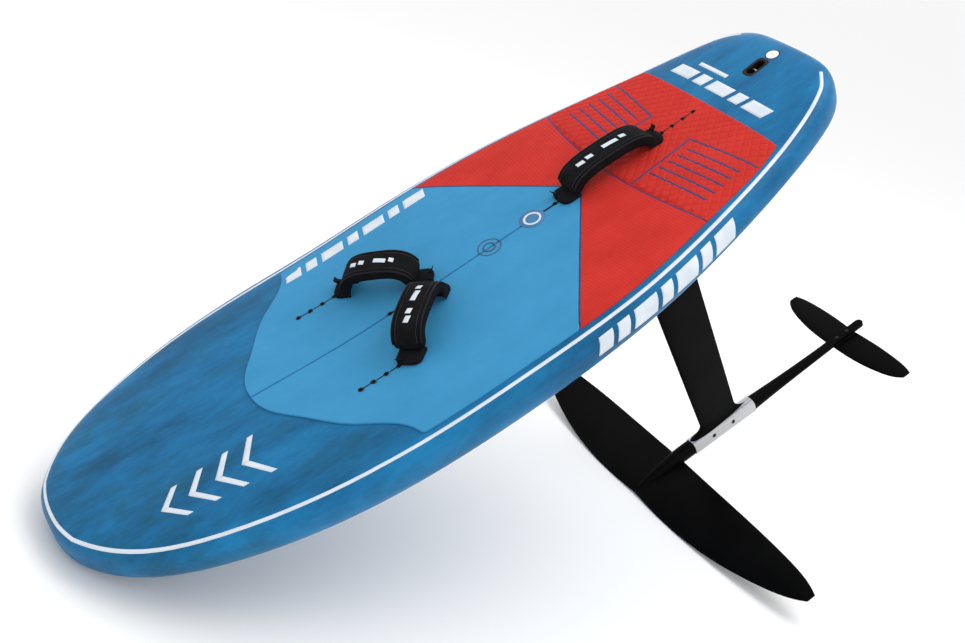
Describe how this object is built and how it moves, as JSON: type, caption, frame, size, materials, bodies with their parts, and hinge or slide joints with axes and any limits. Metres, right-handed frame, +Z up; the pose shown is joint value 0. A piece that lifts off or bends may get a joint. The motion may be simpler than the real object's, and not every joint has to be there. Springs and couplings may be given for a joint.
{
  "type": "hydrofoil wing board",
  "caption": "Wing-foil board with deck pads, footstraps, mast, fuselage and two wings, resting nose-down on its front wing.",
  "frame": {"origin": "on the floor, under the middle of the whole object's box in its resting pose", "axes": "+X from the tail towards the nose along the floor, +Y to the port side, +Z up; the board is pitched 39.3 degrees nose-down"},
  "size_m": [1.973, 1.014, 1.1146],
  "materials": {
    "foam": "matte closed-cell foam",
    "hull_paint": "brushed blue lacquer over a sandwich skin",
    "pad_blue": "soft foam deck pad",
    "pad_red": "soft foam deck pad",
    "black_plastic": "moulded",
    "steel": "satin stainless",
    "white_plastic": "moulded",
    "seal": "smooth",
    "strap_fabric": "padded knit over foam",
    "webbing": "woven tape",
    "foil_black": "satin black over carbon and aluminium",
    "silver": "satin anodised",
    "black_metal": "hard anodised black"
  },
  "bodies": {
    "board": {"foam_core": "foam", "deck_skin": "hull_paint", "bottom_skin": "hull_paint", "front_pad": "pad_blue", "mid_pad": "pad_red", "rear_pad": "pad_red", "insert_front_port": "black_plastic", "insert_front_starboard": "black_plastic", "insert_front_centre": "black_plastic", "insert_rear_forward": "black_plastic", "insert_rear_aft": "black_plastic", "leash_cup": "black_plastic", "leash_bar": "steel", "vent_insert": "black_plastic", "track_box_port": "black_plastic", "track_box_starboard": "black_plastic", "handle_cup": "black_plastic", "handle_grip": "strap_fabric", "front_port_strap_cover": "strap_fabric", "front_port_strap_webbing": "webbing", "front_port_strap_plates": "black_plastic", "front_port_strap_screws": "steel", "front_starboard_strap_cover": "strap_fabric", "front_starboard_strap_webbing": "webbing", "front_starboard_strap_plates": "black_plastic", "front_starboard_strap_screws": "steel", "rear_strap_cover": "strap_fabric", "rear_strap_webbing": "webbing", "rear_strap_plates": "black_plastic", "rear_strap_screws": "steel"},
    "foil": {"base_plate": "black_metal", "base_bolts": "steel", "base_washers": "steel", "track_nuts": "steel", "mast": "foil_black", "mast_head_screws": "steel", "fuselage_centre": "silver", "mast_foot_bolts": "steel", "fuselage_joint_screws": "steel", "fuselage_front": "foil_black", "fuselage_rear": "foil_black", "front_wing": "foil_black", "front_wing_screws": "steel", "tail_wing": "foil_black", "tail_wing_shim": "black_plastic", "tail_wing_screws": "steel"},
    "vent_ring": {"vent_o_ring": "seal"},
    "vent_screw": {"vent_screw": "white_plastic"}
  },
  "joints": [
    {"name": "foil_slide", "type": "slide", "parent": "board", "child": "foil", "axis": [0.7297, 0, -0.6838], "range_m": [-0.07, 0.07]},
    {"name": "vent_lift", "type": "slide", "parent": "board", "child": "vent_ring", "axis": [0.6358, 0, 0.7719], "range_m": [0, 0.004]},
    {"name": "vent_turn", "type": "hinge", "parent": "vent_ring", "child": "vent_screw", "pos_m": [-0.326, 0, 1.08886], "axis": [0.6358, 0, 0.7719], "range_deg": [0, 960]}
  ],
  "couplings": [
    {"joint": "vent_lift", "follows": "vent_turn", "m_per_rad": 0.00023873}
  ]
}
